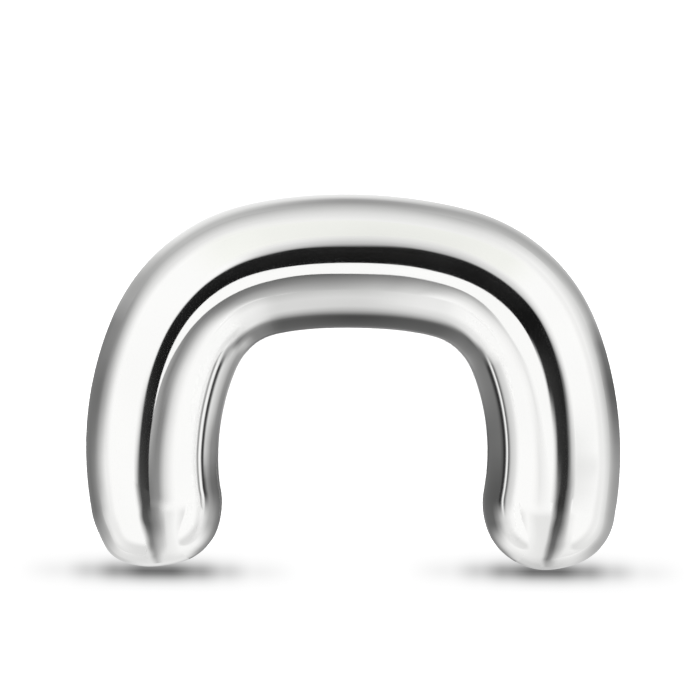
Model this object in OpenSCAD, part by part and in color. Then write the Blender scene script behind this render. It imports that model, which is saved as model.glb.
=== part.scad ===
// Septum retainer: one round titanium bar bent into a horseshoe-shaped staple, with both ends domed.
// It lies on its side. The bend is in the XY plane, the arch points to +Y and the domed ends to -Y.
// The origin is on the surface that it rests on, under the middle of its outline.

/* [Bar] */
// Diameter of the round bar, 6 gauge
bar_d = 4.0; // [3.2:0.1:5]

/* [Bend] */
// Clear gap between the two legs where they stand furthest apart
leg_gap = 8.0; // [7:0.1:12]
// Half of the angle that the shallow bridge turns through
bridge_half_turn = 13.4; // [10:0.2:18]
// Centreline radius of the two corner bends
corner_r = 3.6; // [3.2:0.1:4.5]
// Turn from the middle of the bridge to the end of a corner bend
corner_end_turn = 68; // [64:1:74]
// Centreline radius of the slow curve along each leg
leg_r = 8.4; // [7:0.1:11]
// Turn of each leg past its widest point, which leans its end inwards
end_lean = 10.2; // [0:0.2:16]

/* [Hidden] */
$fn = 96;

bar_r = bar_d / 2;
half_spacing = (leg_gap + bar_d) / 2;
leg_end_turn = 90 + end_lean;

// The bridge radius follows from the gap: it takes up the width that the corners and legs leave,
// to a thousandth of a millimetre.
corner_width = corner_r * (sin(corner_end_turn) - sin(bridge_half_turn));
leg_width = leg_r * (1 - sin(corner_end_turn));
bridge_width = half_spacing - corner_width - leg_width;
bridge_r = round(1000 * bridge_width / sin(bridge_half_turn)) / 1000;

// Point at a distance from a centre, where the turn is measured from +Y towards +X
function at_turn(centre, distance, turn) =
    centre + distance * [sin(turn), cos(turn)];

// Centres of the arcs of the +X half, measured from the centre of the bridge's arc. Each arc takes
// over where the one before it ends, in the same direction, so both centres are on one line with it.
bridge_centre = [0, 0];
corner_centre = at_turn(bridge_centre, bridge_r - corner_r, bridge_half_turn);
leg_centre = at_turn(corner_centre, corner_r - leg_r, corner_end_turn);
end_centre = at_turn(leg_centre, leg_r, leg_end_turn);

// Middle of the outline along Y, between the top of the bridge and the tips
outline_mid_y = (bridge_r + end_centre[1]) / 2;

// Moves to a point in a coarse and a fine step, so that the stretches of bar still meet exactly
// where coordinates are written down with few digits.
module place(point) {
    coarse = [for (c = point) round(100 * c) / 100];
    translate(coarse)
        translate(point - coarse)
            children();
}

// A stretch of bar that is bent around a centre, between two turns
module bent_bar(centre, radius, from_turn, to_turn) {
    place(centre)
        rotate_extrude(start = 90 - to_turn, angle = to_turn - from_turn)
            translate([radius, 0])
                circle(r = bar_r);
}

// The half sphere that rounds off the bar's end, beyond the upright plane that ends the leg
module domed_end() {
    place(end_centre)
        intersection() {
            rotate([90, 0, 0])
                sphere(r = bar_r);
            rotate_extrude(start = -90 - leg_end_turn, angle = 180)
                translate([0, -bar_d])
                    square([bar_d, 2 * bar_d]);
        }
}

// Half of the bar, from the middle of the bridge to one domed end
module half_bar() {
    bent_bar(bridge_centre, bridge_r, 0, bridge_half_turn);
    bent_bar(corner_centre, corner_r, bridge_half_turn, corner_end_turn);
    bent_bar(leg_centre, leg_r, corner_end_turn, leg_end_turn);
    domed_end();
}

module retainer_bar() {
    color("silver")
        translate([0, -outline_mid_y, bar_r]) {
            half_bar();
            mirror([1, 0, 0])
                half_bar();
        }
}

retainer_bar();
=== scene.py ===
import math

import bpy
import numpy as np
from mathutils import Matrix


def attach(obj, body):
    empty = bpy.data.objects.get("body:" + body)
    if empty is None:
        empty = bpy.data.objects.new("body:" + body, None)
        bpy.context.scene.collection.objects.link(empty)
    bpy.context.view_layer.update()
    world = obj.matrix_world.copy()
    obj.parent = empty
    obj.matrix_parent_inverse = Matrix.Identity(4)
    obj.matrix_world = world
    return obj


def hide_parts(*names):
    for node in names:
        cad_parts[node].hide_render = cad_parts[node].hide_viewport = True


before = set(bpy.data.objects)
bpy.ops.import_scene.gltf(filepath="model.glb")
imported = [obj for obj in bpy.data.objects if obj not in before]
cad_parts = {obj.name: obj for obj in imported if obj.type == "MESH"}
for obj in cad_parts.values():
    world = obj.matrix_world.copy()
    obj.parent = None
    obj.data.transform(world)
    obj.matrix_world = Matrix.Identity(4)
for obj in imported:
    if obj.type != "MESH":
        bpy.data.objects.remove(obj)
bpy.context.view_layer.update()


# The retainer bar: one length of round titanium rod, bent cold round a former into a horseshoe,
# with both ends turned to domes. It is the whole object: nothing is fixed to it, and it lies on
# its side. It was buffed on a cloth wheel until it mirrors what stands round it.
MM = 0.001  # every length below is in millimetres
ROD_RADIUS = 2.0
# From the middle of the bridge to the end of a leg: centreline radius, and degrees turned
BENDS = [(12.448, 13.4), (3.6, 54.6), (8.4, 32.2)]
BEND_BLEND = 1.6  # length over which one bend eases into the next, as cold bent rod does
# How far bending and buffing left the rod from a true circle, at even steps along the bar from
# the -X end: half its width, and how far its middle lies outside the centreline
DRESSING = [
    (1.95, 0.0), (1.995, -0.015), (2.0, -0.02), (1.99, 0.03), (2.0, -0.01),
    (1.965, 0.0), (1.99, -0.015), (1.98, -0.015), (1.99, 0.015),
]
# Radius of each dome seen from above, at even turns from the inner side, over the tip, to the
# outer side. The turned ends are a little full, and the -X one is slightly longer.
LEFT_DOME = [1.95, 2.01, 2.11, 2.12, 2.06, 2.11, 2.17, 2.01, 1.95]
RIGHT_DOME = [1.99, 2.01, 2.06, 2.07, 2.06, 2.02, 2.05, 2.05, 1.99]
RINGS, AROUND, DOME_RINGS = 340, 128, 28


def fair(stations, count):
    """count values on a smooth line through evenly spaced ones, as a batten bent round pins."""
    stations = np.asarray(stations, float)
    slopes = np.gradient(stations, axis=0)
    place = np.linspace(0, len(stations) - 1, count)
    low = np.minimum(place.astype(int), len(stations) - 2)
    t = (place - low).reshape([-1] + [1] * (stations.ndim - 1))
    return (
        (1 + 2 * t) * (1 - t) ** 2 * stations[low]
        + t * (1 - t) ** 2 * slopes[low]
        + t**2 * (3 - 2 * t) * stations[low + 1]
        + t**2 * (t - 1) * slopes[low + 1]
    )


def bar_centreline():
    """Points and headings along the bar, from the -X end over the bridge to the +X end, in mm."""
    step = 0.01
    half = np.concatenate([np.full(round(r * math.radians(a) / step), 1 / r) for r, a in BENDS])
    width = round(BEND_BLEND / step)
    ease = np.hanning(width + 2)[1:-1]
    padded = np.pad(np.concatenate([half[::-1], half]), width // 2, mode="edge")
    curvature = np.convolve(padded, ease / ease.sum(), mode="same")[width // 2 : -(width // 2)]
    turned = np.cumsum(curvature) * step - curvature * step / 2
    heading = turned[-1] / 2 - turned
    x = np.cumsum(np.cos(heading)) * step
    y = np.cumsum(np.sin(heading)) * step
    x -= (x[0] + x[-1]) / 2
    y -= (y.max() + (y[0] + y[-1]) / 2) / 2
    at = np.linspace(0, len(x) - 1, RINGS)
    steps = np.arange(len(x))
    path = np.stack([np.interp(at, steps, x), np.interp(at, steps, y)], 1)
    return path, np.interp(at, steps, heading), len(x) * step


def bar_rings():
    """Rings of points round the bar, dome to dome, and the length along the bar of each ring."""
    path, heading, length = bar_centreline()
    outward = np.stack([-np.sin(heading), np.cos(heading)], 1)
    forward = np.stack([np.cos(heading), np.sin(heading)], 1)
    half_width, offset = fair(DRESSING, RINGS).T
    angle = np.linspace(0, 2 * math.pi, AROUND, endpoint=False)
    turns = np.arange(-90, 91)  # degrees round a dome, from its inner side to its outer one
    rings, along = [], []

    def dome(end, axis, radii):
        """Rings from the dome's foot on, and last its tip, each with the length up to it."""
        middle = path[end] + outward[end] * offset[end]
        shape = fair(radii, len(turns))
        for polar in np.linspace(0, math.pi / 2, DOME_RINGS + 1)[1:-1]:
            side = math.cos(polar) * np.cos(angle)
            plan = np.degrees(np.arctan2(side, math.sin(polar)))
            reach = np.interp(plan, turns, shape)
            flat = middle + (side * reach)[:, None] * outward[end]
            flat = flat + (math.sin(polar) * reach)[:, None] * axis
            rise = ROD_RADIUS + ROD_RADIUS * math.cos(polar) * np.sin(angle)
            yield np.column_stack([flat, rise]), polar * ROD_RADIUS
        yield middle + axis * np.interp(0, turns, shape), math.pi / 2 * ROD_RADIUS

    left = list(dome(0, -forward[0], LEFT_DOME))
    right = list(dome(-1, forward[-1], RIGHT_DOME))
    for ring, back in left[-2::-1]:
        rings.append(ring)
        along.append(-back)
    for k in range(RINGS):
        side = offset[k] + half_width[k] * np.cos(angle)
        flat = path[k] + side[:, None] * outward[k]
        rings.append(np.column_stack([flat, ROD_RADIUS + ROD_RADIUS * np.sin(angle)]))
        along.append(length * k / (RINGS - 1))
    for ring, on in right[:-1]:
        rings.append(ring)
        along.append(length + on)
    tips = [np.append(left[-1][0], ROD_RADIUS), np.append(right[-1][0], ROD_RADIUS)]
    return rings, along, tips


def bar_mesh():
    """The bar as one closed mesh: the rings joined by quads, and a fan of triangles at each tip."""
    rings, along, tips = bar_rings()
    count = len(rings)
    points = np.vstack([np.vstack(rings), *tips]) * MM
    ring_of, place = np.divmod(np.arange((count - 1) * AROUND), AROUND)
    after = (place + 1) % AROUND
    quads = np.stack(
        [
            ring_of * AROUND + place,
            ring_of * AROUND + after,
            (ring_of + 1) * AROUND + after,
            (ring_of + 1) * AROUND + place,
        ],
        1,
    )
    ends = [(count * AROUND, (j + 1) % AROUND, j) for j in range(AROUND)]
    last = (count - 1) * AROUND
    ends += [(count * AROUND + 1, last + j, last + (j + 1) % AROUND) for j in range(AROUND)]
    mesh = bpy.data.meshes.new("retainer_bar_buffed")
    mesh.from_pydata(points.tolist(), [], quads.tolist() + ends)
    # Length along the bar and round it, both in millimetres, for the marks that buffing leaves
    lay = mesh.uv_layers.new(name="along_and_round")
    round_step = 2 * math.pi * ROD_RADIUS / AROUND
    u = np.array(along)
    quad_uv = np.stack(
        [
            np.stack([u[ring_of + up], (place + on) * round_step], 1)
            for up, on in ((0, 0), (0, 1), (1, 1), (1, 0))
        ],
        1,
    ).reshape(-1, 2)
    j = np.arange(AROUND) * round_step
    to_tip = 0.1  # from the last ring to the tip
    tip_uv = [
        np.stack([np.stack([np.full(AROUND, a), j + b], 1) for a, b in corners], 1).reshape(-1, 2)
        for corners in (
            ((u[0] - to_tip, round_step / 2), (u[0], round_step), (u[0], 0)),
            ((u[-1] + to_tip, round_step / 2), (u[-1], 0), (u[-1], round_step)),
        )
    ]
    lay.data.foreach_set("uv", np.vstack([quad_uv, *tip_uv]).astype(np.float32).ravel())
    mesh.shade_smooth()
    mesh.validate()
    return mesh


def srgb(hex_colour):
    """The linear colour of an sRGB hex value."""
    parts = [int(hex_colour[i : i + 2], 16) / 255 for i in (1, 3, 5)]
    return (*[c / 12.92 if c <= 0.04045 else ((c + 0.055) / 1.055) ** 2.4 for c in parts], 1)


def add(tree, kind, links=None, **settings):
    """Adds a node of that kind. A setting is one of its inputs, by name, or else a property;
    links gives the socket that each named or numbered input is fed from."""
    node = tree.nodes.new(kind)
    for name, value in settings.items():
        label = name.replace("_", " ")
        if label in node.inputs:
            node.inputs[label].default_value = value
        else:
            setattr(node, name, value)
    for name, source in (links or {}).items():
        tree.links.new(source, node.inputs[name])
    return node


def buffed_titanium():
    """Implant-grade titanium, turned, ground and buffed to a mirror on a cloth wheel. It gives
    hard, bright reflections in an even, neutral grey. Close to, the wheel's faint lines along
    the bar and a slow waviness keep them from looking like glass."""
    material = bpy.data.materials.new("buffed_titanium")
    material.use_nodes = True
    tree = material.node_tree
    tree.nodes.clear()
    solid = add(tree, "ShaderNodeTexCoord").outputs["Object"]
    along_and_round = add(tree, "ShaderNodeUVMap", uv_map="along_and_round").outputs["UV"]

    # Patches about 3 mm across where the wheel has left the grey a little lighter or darker
    patches = add(
        tree, "ShaderNodeTexNoise", {"Vector": solid}, Scale=1 / (3 * MM), Detail=2.0, Roughness=0.5
    )
    tone = add(tree, "ShaderNodeValToRGB", {"Fac": patches.outputs["Fac"]})
    tone.color_ramp.elements[0].position, tone.color_ramp.elements[1].position = 0.35, 0.65
    tone.color_ramp.elements[0].color = srgb("#CDCDCC")
    tone.color_ramp.elements[1].color = srgb("#CFCFCE")

    # Wheel lines: real ones are a few thousandths of a millimetre apart, which no render shows,
    # so they are drawn 0.07 mm apart and 3 mm long
    line_length, line_gap = 3, 0.07
    stretched = add(tree, "ShaderNodeVectorMath", {0: along_and_round}, operation="MULTIPLY")
    stretched.inputs[1].default_value = (1 / line_length, 1 / line_gap, 1)
    lines = add(
        tree,
        "ShaderNodeTexNoise",
        {"Vector": stretched.outputs[0]},
        Scale=1.0,
        Detail=2.0,
        Roughness=0.6,
    )
    # A haze that varies over about 1.2 mm, and more where the wheel lines are deep
    haze = add(tree, "ShaderNodeTexNoise", {"Vector": solid}, Scale=1 / (1.2 * MM), Detail=3.0)
    both = add(
        tree, "ShaderNodeMath", {0: haze.outputs["Fac"], 1: lines.outputs["Fac"]}, operation="ADD"
    )
    shine = add(
        tree,
        "ShaderNodeMapRange",
        {"Value": both.outputs[0]},
        From_Min=0.7,
        From_Max=1.3,
        To_Min=0.04,
        To_Max=0.09,
    )

    # The slow waviness of a surface levelled by hand on a wheel: 2.5 mm long, a third of a
    # thousandth of a millimetre deep
    waves = add(tree, "ShaderNodeTexNoise", {"Vector": solid}, Scale=1 / (2.5 * MM), Detail=1.0)
    wavy = add(
        tree,
        "ShaderNodeBump",
        {"Height": waves.outputs["Fac"]},
        Strength=1.0,
        Distance=0.0012 * MM,
    )
    lined = add(
        tree,
        "ShaderNodeBump",
        {"Height": lines.outputs["Fac"], "Normal": wavy.outputs["Normal"]},
        Strength=1.0,
        Distance=0.00012 * MM,
    )
    metal = add(
        tree,
        "ShaderNodeBsdfPrincipled",
        {
            "Base Color": tone.outputs["Color"],
            "Roughness": shine.outputs["Result"],
            "Normal": lined.outputs["Normal"],
        },
        Metallic=1.0,
    )
    add(tree, "ShaderNodeOutputMaterial", {"Surface": metal.outputs["BSDF"]})
    return material


bar = bpy.data.objects.new("septum_retainer_bar", bar_mesh())
bpy.context.scene.collection.objects.link(bar)
bar.data.materials.append(buffed_titanium())
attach(bar, "root")
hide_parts("retainer_bar")


# The table top that the retainer lies on: a plain matt board, sprayed a pale grey that the
# studio light brings up to white. It is not part of the object.
def sprayed_board():
    """Matt sprayed board. It gives an even, glareless white that shows only the soft shadow."""
    material = bpy.data.materials.new("sprayed_board")
    material.use_nodes = True
    tree = material.node_tree
    tree.nodes.clear()
    board = add(tree, "ShaderNodeBsdfDiffuse", Color=srgb("#EDEDED"), Roughness=0.6)
    add(tree, "ShaderNodeOutputMaterial", {"Surface": board.outputs["BSDF"]})
    return material


half_floor = 900 * MM
floor_mesh = bpy.data.meshes.new("table_top")
floor_mesh.from_pydata(
    [(x * half_floor, y * half_floor, 0) for x, y in ((-1, -1), (1, -1), (1, 1), (-1, 1))],
    [],
    [(0, 1, 2, 3)],
)
floor_mesh.materials.append(sprayed_board())
floor = bpy.data.objects.new("table_top", floor_mesh)
bpy.context.scene.collection.objects.link(floor)
floor.visible_glossy = False  # the polished metal mirrors the reflector cards instead


# Glowing cards and flags set round the bar so that the polished metal has something to mirror:
# their graded glow is painted light and shade, in place of the lit and dark parts of a jewellery
# tent. They are not part of the object, nothing but the metal sees them, and they cast no shadow.
CARD_ROWS, CARD_COLUMNS = 241, 9
REACH_FADE = 0.5  # length over which a card fades out at the end of its reach
# Height over the table of the cards that lie on it, so that none touches another
ON_TABLE = {"foot": 0.015, "pool": 0.02, "front": 0.04, "under": 0.05, "inner": 0.06, "tray": 0.07}


def painted_glow_material(name, looks, tint, reach):
    """Glowing graded card: its glow, not light falling on it, is painted light and shade. Each look
    is (place along the card, [(place across, light, cover) ...]): light is how bright it glows, and
    cover, 1 unless given, fades it to nothing. Only metal within reach of the card, in mm, mirrors
    it."""
    material = bpy.data.materials.new(name)
    material.use_nodes = True
    tree = material.node_tree
    tree.nodes.clear()
    lay = add(tree, "ShaderNodeUVMap", uv_map="lay")
    place = add(tree, "ShaderNodeSeparateXYZ", {"Vector": lay.outputs["UV"]})
    light = cover = before = None
    for at, stops in looks:
        ramp = add(tree, "ShaderNodeValToRGB", {"Fac": place.outputs["Y"]})
        while len(ramp.color_ramp.elements) < len(stops):
            ramp.color_ramp.elements.new(0.5)
        for element, (position, value, *alpha) in zip(ramp.color_ramp.elements, stops):
            element.position = position
            # The ramp holds half the light, so that it stays within 0 to 1, and the glow doubles it
            element.color = (value / 2, value / 2, value / 2, alpha[0] if alpha else 1)
        if light is None:
            light, cover = ramp.outputs["Color"], ramp.outputs["Alpha"]
        else:
            over = add(
                tree,
                "ShaderNodeMapRange",
                {"Value": place.outputs["X"]},
                interpolation_type="SMOOTHSTEP",
                From_Min=before,
                From_Max=at,
            )
            # A mix node's colours are its inputs 6 and 7, and its plain values are 2 and 3
            pair = {0: over.outputs["Result"], 6: light, 7: ramp.outputs["Color"]}
            light = add(tree, "ShaderNodeMix", pair, data_type="RGBA").outputs[2]
            pair = {0: over.outputs["Result"], 2: cover, 3: ramp.outputs["Alpha"]}
            cover = add(tree, "ShaderNodeMix", pair, data_type="FLOAT").outputs[0]
        before = at
    if reach:
        near = add(
            tree,
            "ShaderNodeMapRange",
            {"Value": add(tree, "ShaderNodeLightPath").outputs["Ray Length"]},
            From_Min=reach * MM,
            From_Max=(reach + REACH_FADE) * MM,
            To_Min=1,
            To_Max=0,
        )
        pair = {0: cover, 1: near.outputs["Result"]}
        cover = add(tree, "ShaderNodeMath", pair, operation="MULTIPLY").outputs[0]
    tinted = add(tree, "ShaderNodeVectorMath", {0: light}, operation="MULTIPLY")
    tinted.inputs[1].default_value = srgb(tint)[:3]
    glow = add(tree, "ShaderNodeEmission", {"Color": tinted.outputs[0]}, Strength=2.0)
    clear = add(tree, "ShaderNodeBsdfTransparent")
    mix = add(
        tree,
        "ShaderNodeMixShader",
        {0: cover, 1: clear.outputs["BSDF"], 2: glow.outputs["Emission"]},
    )
    add(tree, "ShaderNodeOutputMaterial", {"Surface": mix.outputs[0]})
    return material


def card(name, edges, looks, tint="#FFFFFF", reach=None):
    """A card between two edges, given as pairs of points in mm at even steps along it."""
    fine = fair(np.asarray(edges, float), CARD_ROWS)
    columns = np.linspace(0, 1, CARD_COLUMNS)
    points = fine[:, :1] + (fine[:, 1:] - fine[:, :1]) * columns[None, :, None]
    corners = [
        r * CARD_COLUMNS + c for r in range(CARD_ROWS - 1) for c in range(CARD_COLUMNS - 1)
    ]
    faces = [(k, k + 1, k + CARD_COLUMNS + 1, k + CARD_COLUMNS) for k in corners]
    mesh = bpy.data.meshes.new(name)
    mesh.from_pydata((points.reshape(-1, 3) * MM).tolist(), [], faces)
    lay = mesh.uv_layers.new(name="lay")
    for loop in mesh.loops:
        r, c = divmod(loop.vertex_index, CARD_COLUMNS)
        lay.data[loop.index].uv = (r / (CARD_ROWS - 1), columns[c])
    # The card's material: a graded glow of painted light and shade
    mesh.materials.append(painted_glow_material(name + "_painted_glow", looks, tint, reach))
    piece = bpy.data.objects.new(name, mesh)
    bpy.context.scene.collection.objects.link(piece)
    piece.visible_camera = piece.visible_diffuse = piece.visible_shadow = False
    piece.visible_transmission = piece.visible_volume_scatter = False
    return piece


DOME_TURN = 75  # degrees that such a card follows round each dome
DOME_SHARE = 0.125  # its length round a dome, as a share of its length along the bar


def beside(out, low):
    """Points at a distance out from the bar's centreline, and round both domes, at a height.
    Places on it run from 0.1 at the foot of the -X dome to 0.9 at the foot of the +X one."""
    path, heading, _ = bar_centreline()
    outward = np.stack([-np.sin(heading), np.cos(heading)], 1)
    forward = np.stack([np.cos(heading), np.sin(heading)], 1)
    steps = np.linspace(-DOME_SHARE, 1 + DOME_SHARE, CARD_ROWS)
    points = []
    for step in steps:
        k = int(round(min(max(step, 0), 1) * (RINGS - 1)))
        turn = math.radians(DOME_TURN) * (max(-step, 0) + max(step - 1, 0)) / DOME_SHARE
        tip = -forward[k] if step < 0.5 else forward[k]
        away = math.cos(turn) * outward[k] * math.copysign(1, out) + math.sin(turn) * tip
        points.append([*(path[k] + away * abs(out)), low])
    return np.array(points)


# Black flag cut to a horseshoe, its inner edge about 8 mm above the bar's middle: it draws the
# dark line that runs the length of the bar. Its outer edge is feathered, most of all behind the
# bridge.
card(
    "horseshoe_flag",
    [
        ((-6.4, -3.6, 9.5), (-11.4, -4.6, 12.1)),
        ((-5.9, -1.7, 9.5), (-10.6, -1.5, 11.9)),
        ((-5.58, 0.1, 9.5), (-10.1, 1.4, 11.8)),
        ((-4.57, 1.42, 9.6), (-8.3, 4.2, 11.3)),
        ((-3.35, 2.2, 9.8), (-5.9, 7.2, 10.8)),
        ((-1.8, 2.75, 9.8), (-2.8, 9.9, 10.6)),
        ((0.0, 2.93, 9.8), (0.0, 10.3, 10.6)),
        ((1.8, 2.89, 9.8), (3.0, 10.9, 10.6)),
        ((3.3, 2.15, 9.8), (6.6, 9.2, 10.8)),
        ((4.56, 1.43, 9.6), (10.8, 6.0, 11.6)),
        ((5.2, 0.1, 9.5), (13.0, 2.0, 12.6)),
        ((5.2, -1.7, 9.5), (12.5, -1.5, 12.6)),
        ((5.3, -3.7, 9.5), (12.6, -4.6, 12.0)),
    ],
    [
        (0.0, [(0, 0.05), (0.45, 0.1), (0.6, 0.2), (0.7, 0.7), (0.95, 1.35), (1, 1.5, 0)]),
        (0.1, [(0, 0.02), (0.5, 0.05), (0.6, 0.9), (0.7, 1.2), (1, 1.5, 0)]),
        (0.2, [(0, 0.01), (0.52, 0.02), (0.57, 1.4), (0.65, 1.55, 0)]),
        (0.3, [(0, 0.01), (0.52, 0.02), (0.57, 1.4), (0.65, 1.55, 0)]),
        (0.4, [(0, 0.01), (0.49, 0.02), (0.53, 0.7), (0.6, 1.0), (0.8, 1.3), (1, 1.4, 0)]),
        (0.5, [(0, 0.01), (0.47, 0.02), (0.54, 0.5), (0.6, 0.8), (0.75, 1.05), (1, 1.25, 0.5)]),
        (0.6, [(0, 0.01), (0.51, 0.02), (0.56, 0.7), (0.7, 1.05), (1, 1.3, 0.5)]),
        (0.7, [(0, 0.01), (0.53, 0.02), (0.58, 1.0), (0.8, 1.3), (1, 1.5, 0)]),
        (0.77, [(0, 0.01), (0.53, 0.01), (0.6, 0.8), (0.7, 1.25), (1, 1.55, 0)]),
        (
            0.85,
            [
                (0, 1.5, 0), (0.04, 0.7), (0.06, 0.05), (0.5, 0.02),
                (0.6, 0.35), (0.7, 0.95), (1, 1.5, 0),
            ],
        ),
        (
            0.93,
            [
                (0, 1.5, 0), (0.1, 0.9), (0.16, 0.05), (0.5, 0.03),
                (0.6, 0.3), (0.75, 0.95), (1, 1.3),
            ],
        ),
        (
            1.0,
            [
                (0, 1.5, 0), (0.12, 1.0), (0.2, 0.3), (0.3, 0.05),
                (0.5, 0.05), (0.65, 0.45), (1, 1.25),
            ],
        ),
    ],
    reach=11,
)

# The flag's two tails, which arch over the domed ends and down to the table in front of them.
# They carry the dark line to the tips, where it narrows and fades, and the -X one also carries
# the shade beside it.
ARCH = [
    (-3.6, 9.5), (-6.5, 9.6), (-10.0, 9.3), (-13.0, 7.5), (-14.5, 4.5),
    (-14.8, 1.8), (-13.5, 0.1), (-10.5, 0.1), (-7.5, 0.1),
]


def tail(name, outer, inner, looks):
    """A tail whose outer and inner edges have these x at the points of the arch."""
    edges = [((o, y, z), (i, y, z)) for o, i, (y, z) in zip(outer, inner, ARCH)]
    card(name, edges, looks, reach=10.2)


tail(
    "left_tail",
    [-10.2, -9.8, -8.7, -7.95, -7.45, -7.0, -6.75, -6.5, -6.2],
    [-3.0, -3.0, -3.0, -3.15, -3.5, -4.0, -4.5, -4.95, -5.4],
    [
        (
            0.0,
            [
                (0, 1.5, 0), (0.07, 1.4), (0.2, 0.4), (0.27, 0.1),
                (0.5, 0.1), (0.55, 0.3), (0.7, 0.5), (1, 1.3, 0),
            ],
        ),
        (
            0.2,
            [
                (0, 1.5, 0), (0.08, 1.35), (0.27, 0.15), (0.42, 0.15),
                (0.6, 0.4), (0.85, 0.95), (1, 1.25, 0),
            ],
        ),
        (
            0.45,
            [
                (0, 1.4, 0), (0.15, 1.0), (0.35, 0.35), (0.45, 0.35),
                (0.6, 0.6), (0.8, 1.0), (1, 1.2, 0),
            ],
        ),
        (0.75, [(0, 1.25, 0), (0.2, 1.15), (0.5, 0.55), (0.6, 0.6), (0.8, 0.95), (1, 1.25, 0)]),
        (1.0, [(0, 1.25, 0), (0.3, 1.1), (0.6, 0.75), (0.8, 1.0), (1, 1.2, 0)]),
    ],
)
tail(
    "right_tail",
    [10.3, 10.3, 10.4, 10.3, 10.0, 9.2, 8.3, 7.5, 6.8],
    [5.8, 5.6, 5.2, 4.9, 4.6, 4.6, 4.7, 5.1, 5.5],
    [
        (
            0.0,
            [
                (0, 1.2, 0), (0.05, 1.05), (0.25, 0.45), (0.45, 0.05),
                (0.7, 0.05), (0.8, 0.3), (0.9, 0.9), (1, 1.3, 0),
            ],
        ),
        (
            0.15,
            [
                (0, 1.25, 0), (0.15, 0.95), (0.35, 0.45), (0.5, 0.15),
                (0.7, 0.1), (0.9, 0.9), (1, 1.3, 0),
            ],
        ),
        (
            0.4,
            [
                (0, 1.35, 0), (0.15, 1.1), (0.3, 0.7), (0.5, 0.2),
                (0.65, 0.2), (0.85, 0.75), (1, 1.25, 0),
            ],
        ),
        (
            0.7,
            [
                (0, 1.25, 0), (0.15, 1.05), (0.3, 0.8), (0.45, 0.4),
                (0.6, 0.3), (0.75, 0.6), (1, 1.2, 0),
            ],
        ),
        (1.0, [(0, 1.15, 0), (0.3, 0.85), (0.5, 0.7), (0.65, 0.65), (0.8, 0.9), (1, 1.05, 0)]),
    ],
)

# Off-white card that follows the same arch, just behind the tails, and runs on over the table
# to beneath the domes. It takes the glare off them and gives their lower edge its pale grey.
card(
    "front_card",
    [((-10.0, y - 0.3, z + 0.3), (13.0, y - 0.3, z + 0.3)) for y, z in ARCH[:6]]
    + [
        ((-10.0, y, ON_TABLE["front"]), (13.0, y, ON_TABLE["front"]))
        for y in (-13.5, -10.5, -7.5, -5.9, -4.4)
    ],
    [
        (0.0, [(0, 1.5, 0), (1, 1.5, 0)]),
        (0.1, [(0.25, 1.2, 0), (0.3, 1.25), (0.42, 1.5), (0.55, 1.25), (0.85, 1.25), (1, 1.45, 0)]),
        (
            0.5,
            [
                (0.15, 1.2, 0), (0.25, 1.3), (0.4, 1.5), (0.55, 1.3),
                (0.7, 1.2), (0.9, 1.4), (1, 1.5, 0),
            ],
        ),
        (
            0.7,
            [
                (0.1, 1.1, 0), (0.2, 1.15), (0.35, 1.5), (0.45, 1.5),
                (0.6, 1.2), (0.7, 1.0), (1, 1.45, 0),
            ],
        ),
        (0.8, [(0.1, 1.0, 0), (0.3, 1.25), (0.5, 1.3), (0.7, 0.75), (0.85, 1.1), (1, 1.4, 0)]),
        (0.9, [(0.1, 0.6), (0.5, 0.85), (0.65, 0.55), (1, 1.0, 0)]),
        (1.0, [(0, 0.3), (1, 0.3)]),
    ],
    reach=11,
)

# Off-white card out beyond the foot of the +X leg, leaning outwards. It takes the glare off the
# outer side of the leg.
card(
    "side_card",
    [((12.6, y, 12.4), (17.5, y, 5.5)) for y in (0.5, -1.5, -3.0, -4.5, -6.5)],
    [
        (0.0, [(0, 1.5, 0), (1, 1.5, 0)]),
        (0.3, [(0, 1.4), (1, 1.55)]),
        (0.5, [(0, 1.3), (1, 1.4)]),
        (0.7, [(0, 1.35), (1, 1.5)]),
        (1.0, [(0, 1.5, 0), (1, 1.5, 0)]),
    ],
    reach=13,
)

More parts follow.
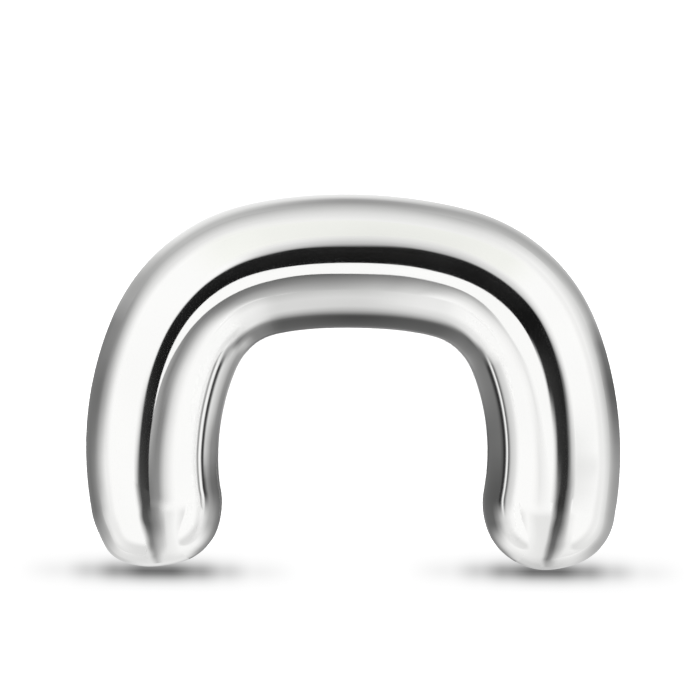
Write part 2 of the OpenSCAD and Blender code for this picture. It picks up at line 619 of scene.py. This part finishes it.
# Grey card close above the inner side of the bar, which lays a sharp-edged shade along it beside
# the flag's dark line. It is darkest at that edge, and hardly shows along the +X leg.
SHADE_HEIGHT = 5.5
card(
    "inner_shade",
    [
        ((outer_x, outer_y, SHADE_HEIGHT), (inner_x, inner_y, SHADE_HEIGHT))
        for outer_x, outer_y, inner_x, inner_y in (
            (-6.08, -4.4, -4.0, -4.4), (-6.08, -3.0, -3.7, -3.0), (-5.92, -1.5, -3.3, -1.7),
            (-5.41, 0.1, -2.9, -0.5), (-4.36, 1.26, -2.3, 0.0), (-3.1, 1.9, -1.8, 0.3),
            (-1.6, 2.4, -1.0, 0.3), (0.0, 2.45, 0.0, 0.25), (1.6, 2.4, 1.0, 0.3),
            (3.05, 1.87, 1.9, 0.1), (3.8, 0.85, 2.7, -0.3), (4.6, 0.0, 3.4, -0.6),
            (5.15, -1.7, 3.7, -1.7), (5.75, -3.4, 3.9, -3.4), (5.9, -5.0, 3.9, -5.0),
        )
    ],
    [
        (0.0, [(0, 0.5, 0), (1, 1.5, 0)]),
        (0.05, [(0, 0.3), (0.2, 0.4), (0.3, 0.45), (0.5, 1.05), (1, 1.5, 0)]),
        (0.15, [(0, 0.7), (0.1, 0.5), (0.2, 0.35), (0.3, 0.4), (0.5, 1.05), (1, 1.55, 0)]),
        (0.22, [(0, 0.6), (0.15, 0.35), (0.3, 0.6), (0.5, 1.15), (1, 1.55, 0)]),
        (0.28, [(0, 0.4), (0.1, 0.35), (0.25, 0.55), (0.45, 1.0), (1, 1.5, 0)]),
        (0.34, [(0, 0.25), (0.25, 0.35), (0.5, 0.6), (1, 0.9)]),
        (0.45, [(0, 0.2), (0.2, 0.35), (0.5, 0.55), (1, 0.85)]),
        (0.55, [(0, 0.3), (0.2, 0.45), (0.5, 0.7), (1, 1.0)]),
        (0.6, [(0, 0.4), (0.3, 0.7), (0.6, 0.95), (1, 1.15)]),
        (0.66, [(0, 0.6), (0.25, 1.1), (0.5, 1.35), (1, 1.55, 0)]),
        (0.72, [(0, 1.4, 0), (0.1, 1.2), (0.3, 1.4), (1, 1.55, 0)]),
        (0.8, [(0, 1.5, 0), (0.15, 1.45), (0.3, 1.3), (0.45, 1.45), (1, 1.55, 0)]),
        (0.9, [(0, 1.3, 0), (0.5, 1.3), (1, 1.55, 0)]),
        (1.0, [(0, 1.3, 0), (1, 1.5, 0)]),
    ],
    reach=3.3,
)

# Low fence standing along the inside of the horseshoe, 1 mm clear of the metal, with painted shade
# that the bridge mirrors as the dark shade along its inner edge. Beside the legs it has a painted
# reflection of the other leg, a black line with a white one over it, shown as the fine pair of
# lines that runs down each leg. Painted shade lies on the table between it and the bar.
FENCE_HEIGHT = 5.4
FENCE_OUT = ROD_RADIUS + 1  # from the bar's centreline to the fence


def rungs(*stops):
    """Stops up the fence, given by their height in mm."""
    return [(stop[0] / FENCE_HEIGHT, *stop[1:]) for stop in stops]


def minus_x_painted_reflection(low):
    """Painted reflection of the +X leg beside the -X leg: black line, white one over it, from a
    height.
    """
    black = [(low, 0.08), (low + 0.15, 0.05)]
    white = [(low + 0.25, 1.5), (low + 0.4, 1.5)]
    grey = [(low + 0.48, 0.5), (low + 0.58, 0.55)]
    return [*black, *white, *grey, (low + 0.68, 1.4), (low + 0.8, 1.6, 0)]


# The fence stands a little higher beside the ends of the legs
lift = np.interp(
    np.linspace(0, 1, CARD_ROWS), [0, 0.1, 0.2, 0.8, 0.9, 1], [0.13, 0.13, 0, 0, 0.05, 0.05]
)
fence_foot = beside(-FENCE_OUT, 0.0) + lift[:, None] * [0, 0, 1]
# Painted reflection of the -X leg: the pair of lines beside the +X leg, with a thin grey one over
# them
plus_x_painted_reflection = (
    (2.85, 0.15), (2.95, 0.05), (3.1, 0.05), (3.18, 0.6), (3.24, 1.5), (3.31, 1.5),
    (3.37, 0.3), (3.45, 0.2), (3.55, 0.65), (3.65, 0.95), (4.1, 1.2), (4.6, 1.5, 0),
)
card(
    "painted_shade_fence",
    np.stack([fence_foot, fence_foot + [0, 0, FENCE_HEIGHT]], 1),
    [
        (0.0, rungs((0, 0.5), (1.1, 1.0), (1.9, 1.35), (3.2, 1.55, 0))),
        (0.02, rungs((0, 0.3), (1.2, 0.55), (2.2, 1.4), (3.0, 1.55, 0))),
        (0.06, rungs((0, 0.2), (1.3, 0.35), (2.4, 0.7), (3.0, 1.3), (3.2, 1.5, 0))),
        (0.1, rungs((0, 0.15), (1.9, 0.25), (2.45, 0.45), *minus_x_painted_reflection(2.75))),
        (0.15, rungs((0, 0.25), (1.9, 0.4), (2.65, 1.0), *minus_x_painted_reflection(2.8))),
        (0.21, rungs((0, 0.3), (1.5, 0.4), (2.65, 1.2), *minus_x_painted_reflection(2.85))),
        (0.26, rungs((0, 0.35), (1.5, 0.45), (2.7, 1.2), *minus_x_painted_reflection(2.9))),
        (
            0.29,
            rungs(
                (0, 0.4), (1.5, 0.5), (2.4, 1.0), (2.95, 0.6),
                (3.1, 0.7), (3.3, 1.4), (3.45, 1.6, 0),
            ),
        ),
        (0.33, rungs((0, 0.35), (2.0, 0.8), (2.7, 0.3), (2.95, 0.6), (3.3, 1.5, 0))),
        (0.37, rungs((0, 0.3), (2.4, 0.35), (2.7, 0.45), (3.1, 1.3), (4.5, 1.4), (5.4, 1.1))),
        (
            0.41,
            rungs(
                (0, 0.2), (2.4, 0.15), (2.7, 0.2), (3.2, 0.85),
                (3.5, 1.1), (4.4, 1.1), (5.4, 0.85),
            ),
        ),
        (
            0.5,
            rungs(
                (0, 0.2), (2.5, 0.1), (2.7, 0.15), (3.2, 0.75),
                (3.6, 1.05), (4.5, 1.1), (5.4, 0.9),
            ),
        ),
        (
            0.6,
            rungs(
                (0, 0.2), (2.5, 0.15), (2.7, 0.2), (3.1, 0.8),
                (3.4, 1.1), (4.0, 1.35), (5.4, 1.3),
            ),
        ),
        (0.67, rungs((0, 0.4), (2.5, 0.25), (2.9, 0.2), (3.3, 1.25), (4.2, 1.55, 0))),
        (0.71, rungs((0, 0.35), (0.7, 0.45), (2.9, 0.25), (3.1, 0.3), (3.5, 1.25), (4.2, 1.55, 0))),
        (0.74, rungs((0, 0.25), (0.8, 0.35), (2.7, 0.3), *plus_x_painted_reflection)),
        (0.83, rungs((0, 0.2), (2.6, 0.25), *plus_x_painted_reflection)),
        (0.91, rungs((0, 0.2), (2.4, 0.15), *plus_x_painted_reflection)),
        (0.94, rungs((0, 0.2), (2.2, 0.2), (2.7, 0.5), (3.1, 1.0), (3.9, 1.45), (4.3, 1.5, 0))),
        (0.98, rungs((0, 0.3), (0.9, 0.55), (2.1, 1.3), (3.4, 1.55, 0))),
        (1.0, rungs((0, 0.5), (1.1, 1.0), (3.4, 1.5, 0))),
    ],
    reach=3.0,
)
UNDER_EDGE = 1.2  # from the bar's centreline to the edges of the paper right under it
# Painted shade on the table inside the horseshoe, for the metal to mirror
card(
    "inner_painted_shade",
    np.stack([beside(-UNDER_EDGE, ON_TABLE["inner"]), beside(-FENCE_OUT, ON_TABLE["inner"])], 1),
    [
        (0.0, [(0, 0.3), (1, 0.3)]),
        (0.1, [(0, 0.2), (1, 0.2)]),
        (0.25, [(0, 0.4), (1, 0.5)]),
        (0.4, [(0, 0.15), (1, 0.2)]),
        (0.6, [(0, 0.25), (1, 0.3)]),
        (0.72, [(0, 0.35), (1, 0.35)]),
        (0.85, [(0, 0.15), (1, 0.15)]),
        (1.0, [(0, 0.3), (1, 0.35)]),
    ],
)

# Painted shade: a dark glowing card on the table right under the bar, as dark as the shade there,
# which the metal mirrors in place of the table. It darkens both lower edges of the metal.
card(
    "painted_shade_under_bar",
    np.stack([beside(-UNDER_EDGE, ON_TABLE["under"]), beside(UNDER_EDGE, ON_TABLE["under"])], 1),
    [(at, [(0, 0.15), (0.5, 0.08), (1, 0.3)]) for at in (0.0, 1.0)],
)

# Glowing grey card tray that the retainer lies in, for the metal to mirror: a floor 9 mm wide
# round the outside of the bar, its painted shade darkest beside the legs, and an upright rim that
# is darker towards its foot and pales towards its top.
TRAY_OUT, TRAY_HEIGHT = 10.0, 6.5  # from the bar's centreline to the rim, and the rim's height
card(
    "painted_shade_tray_floor",
    np.stack([beside(UNDER_EDGE, ON_TABLE["tray"]), beside(TRAY_OUT, ON_TABLE["tray"])], 1),
    [
        (0.0, [(0, 0.8, 0), (1, 1.4, 0)]),
        (0.03, [(0, 0.6), (0.3, 0.85), (0.4, 1.1), (1, 1.35)]),
        (0.1, [(0, 0.25), (0.35, 0.25), (0.65, 0.4), (1, 0.65)]),
        (0.2, [(0, 0.25), (0.7, 0.25), (1, 0.3)]),
        (0.26, [(0, 0.2), (0.4, 0.35), (1, 0.4)]),
        (0.29, [(0, 0.55), (1, 0.6)]),
        (0.35, [(0, 1.2), (0.35, 1.15), (0.6, 0.8), (1, 0.8)]),
        (0.5, [(0, 1.2), (0.3, 1.1), (0.45, 0.55), (0.6, 0.5), (1, 0.7)]),
        (0.65, [(0, 0.9), (0.25, 0.75), (0.4, 0.6), (1, 0.85)]),
        (0.72, [(0, 0.75), (0.3, 0.5), (1, 1.15)]),
        (0.76, [(0, 0.2), (0.4, 0.25), (1, 0.85)]),
        (0.79, [(0, 0.1), (0.45, 0.2), (1, 0.65)]),
        (0.87, [(0, 0.3), (0.5, 0.55), (1, 0.9)]),
        (0.94, [(0, 0.4), (0.5, 0.7), (1, 1.2)]),
        (0.98, [(0, 0.5), (0.35, 1.05), (1, 1.45)]),
        (1.0, [(0, 0.8, 0), (1, 1.4, 0)]),
    ],
)
card(
    "tray_rim",
    np.stack([beside(TRAY_OUT, 0.0), beside(TRAY_OUT, TRAY_HEIGHT)], 1),
    [
        (0.0, [(0, 1.4, 0), (1, 1.55, 0)]),
        (0.06, [(0, 1.15), (0.3, 1.4), (1, 1.55, 0)]),
        (0.12, [(0, 0.55), (0.3, 0.95), (0.6, 1.4), (1, 1.55, 0)]),
        (0.2, [(0, 0.3), (0.4, 0.7), (0.8, 1.4), (1, 1.55, 0)]),
        (0.26, [(0, 0.4), (0.2, 0.5), (0.75, 1.35), (1, 1.5, 0)]),
        (0.33, [(0, 0.7), (0.55, 1.2), (1, 1.5, 0)]),
        (0.5, [(0, 0.7), (0.55, 1.15), (1, 1.4)]),
        (0.6, [(0, 0.7), (0.55, 1.2), (1, 1.4)]),
        (0.68, [(0, 1.1), (0.5, 1.45), (1, 1.55, 0)]),
        (0.8, [(0, 0.8), (0.5, 1.35), (1, 1.6, 0)]),
        (0.92, [(0, 1.1), (0.4, 1.4), (1, 1.55, 0)]),
        (0.98, [(0, 1.4, 0), (1, 1.5, 0)]),
        (1.0, [(0, 1.4, 0), (1, 1.5, 0)]),
    ],
)


# Off-white board that stands 150 mm off behind the bridge and curves round it. It keeps the
# bridge's outer side a shade below the legs'.
def far_off(turn, zenith, distance=150.0):
    """A point at a turn from +Y towards +X and an angle down from straight up."""
    turn, zenith = math.radians(turn), math.radians(zenith)
    return (
        distance * math.sin(zenith) * math.sin(turn),
        distance * math.sin(zenith) * math.cos(turn),
        ROD_RADIUS + distance * math.cos(zenith),
    )


BOARD_TOP, BOARD_FOOT = 26, 80  # degrees down from straight up
card(
    "rear_board",
    [[far_off(turn, BOARD_TOP), far_off(turn, BOARD_FOOT)] for turn in range(-45, 61, 15)],
    [
        (0.0, [(0, 1.55, 0), (1, 1.5, 0)]),
        (0.2, [(0, 1.5, 0), (0.1, 1.5), (1, 1.45)]),
        (0.5, [(0, 1.3, 0), (0.1, 1.3), (1, 1.4)]),
        (0.75, [(0, 1.45, 0), (0.1, 1.45), (1, 1.45)]),
        (0.9, [(0, 1.55, 0), (1, 1.55, 0)]),
    ],
    "#FDFEFA",
)


# The studio light: a white tent that lights everything evenly, and a large soft box overhead
# that bleaches the table top to white. The tent's wall is a quarter darker near the table,
# which gives the metal an outline in low views.
world = bpy.data.worlds.new("light_tent")
world.use_nodes = True
bpy.context.scene.world = world
tent = world.node_tree
tent.nodes.clear()
seen = add(tent, "ShaderNodeLightPath")
direction = add(tent, "ShaderNodeTexCoord").outputs["Generated"]
height = add(tent, "ShaderNodeSeparateXYZ", {0: direction}).outputs["Z"]
wall = add(
    tent,
    "ShaderNodeMapRange",
    {"Value": height},
    interpolation_type="SMOOTHSTEP",
    From_Min=0,
    From_Max=0.25,
    To_Min=1.15,
    To_Max=1.55,
)
glow = add(tent, "ShaderNodeBackground", {"Strength": wall.outputs[0]}, Color=srgb("#FFFFFF"))
backdrop = add(tent, "ShaderNodeBackground", Color=srgb("#FFFFFF"), Strength=1.0)
either = add(
    tent,
    "ShaderNodeMixShader",
    {0: seen.outputs["Is Camera Ray"], 1: glow.outputs[0], 2: backdrop.outputs[0]},
)
add(tent, "ShaderNodeOutputWorld", {"Surface": either.outputs[0]})

lamp = bpy.data.lights.new("soft_box", "AREA")
lamp.shape, lamp.size, lamp.energy = "SQUARE", 300 * MM, 1.5
soft = bpy.data.objects.new("soft_box", lamp)
bpy.context.scene.collection.objects.link(soft)
soft.location = (0, 0, 250 * MM)
soft.visible_glossy = False


# Painted shadow on the table: a soft dark pool in front of each domed end, and the painted shade
# that goes on from it beneath the dome. Both are glowing graded cards that lie on the table, and
# they are seen by the camera and not by the metal.
POOL_WIDTH, POOL_LENGTH = 1.7, 9.0
# The painted shadow pools fade out into the light of the table top
TABLE_LIGHT = 1.01  # light of the bleached table top, which the pools fade into


def painted_shadow_card(name, edges, looks):
    """A card of painted shadow on the table, which the camera sees and the metal doesn't."""
    piece = card(name, edges, looks)
    piece.visible_glossy, piece.visible_camera = False, True


def painted_shadow_stops(depth):
    """Stops across a pool of painted shadow: darkest in its middle, and fading out over 0.65 mm."""
    fall = ((0, 1.0), (0.1, 0.9), (0.2, 0.65), (0.3, 0.39), (0.4, 0.2), (0.5, 0.08), (0.65, 0.0))
    side = [(d / POOL_WIDTH, TABLE_LIGHT - depth * f) for d, f in fall]
    stops = [(0.5 - d, v) for d, v in side[::-1]] + [(0.5 + d, v) for d, v in side[1:]]
    return [(0, TABLE_LIGHT, 0), *stops, (1, TABLE_LIGHT, 0)]


painted_shadow_looks = [
    (at, painted_shadow_stops(depth))
    for at, depth in (
        (0.0, 0.0), (0.17, 0.12), (0.27, 0.36), (0.36, 0.66), (0.46, 0.86),
        (0.54, 0.86), (0.64, 0.66), (0.73, 0.36), (0.83, 0.12), (1.0, 0.0),
    )
]
faded = [(0, 1.0, 0), (1, 1.0, 0)]
painted_flank_shade = [(0, 0.75), (0.3, 0.4), (0.7, 0.4), (1, 1.0, 0)]
painted_dome_shade_looks = [
    (0.0, faded),
    (0.25, painted_flank_shade),
    (0.5, [(0, 0.4), (0.7, 0.3), (1, 1.0, 0)]),
    (0.75, painted_flank_shade),
    (1.0, faded),
]
# Each domed end gets a painted shadow pool in front of it and painted shade beneath it
for side, x, y in (("left", -5.9, -5.9), ("right", 5.93, -5.8)):
    front, back = y - POOL_WIDTH / 2, y + POOL_WIDTH / 2
    painted_shadow_card(
        side + "_painted_shadow_pool",
        [
            ((x + dx, front, ON_TABLE["pool"]), (x + dx, back, ON_TABLE["pool"]))
            for dx in np.linspace(-POOL_LENGTH / 2, POOL_LENGTH / 2, 5)
        ],
        painted_shadow_looks,
    )
    painted_shadow_card(
        side + "_painted_dome_shade",
        [
            ((x + dx, near, ON_TABLE["foot"]), (x + dx, -2.6, ON_TABLE["foot"]))
            for dx, near in ((-1.6, -4.8), (-0.8, -5.5), (0, -5.7), (0.8, -5.5), (1.6, -4.8))
        ],
        painted_dome_shade_looks,
    )


# The camera: straight above the retainer, 100 mm over the bar's middle. Its long lens takes in
# just under 21 mm there, and it is turned 0.6 degrees.
CAMERA_HEIGHT = 100
view = bpy.data.cameras.new("overhead_camera")
view.sensor_width, view.lens = 36, 172.15
view.clip_start, view.clip_end = 1 * MM, 10.0
camera = bpy.data.objects.new("overhead_camera", view)
bpy.context.scene.collection.objects.link(camera)
camera.location = (-0.118 * MM, 0.890 * MM, (ROD_RADIUS + CAMERA_HEIGHT) * MM)
camera.rotation_euler = (0, 0, math.radians(0.6))
bpy.context.scene.camera = camera
bpy.context.scene.view_settings.view_transform = "Standard"
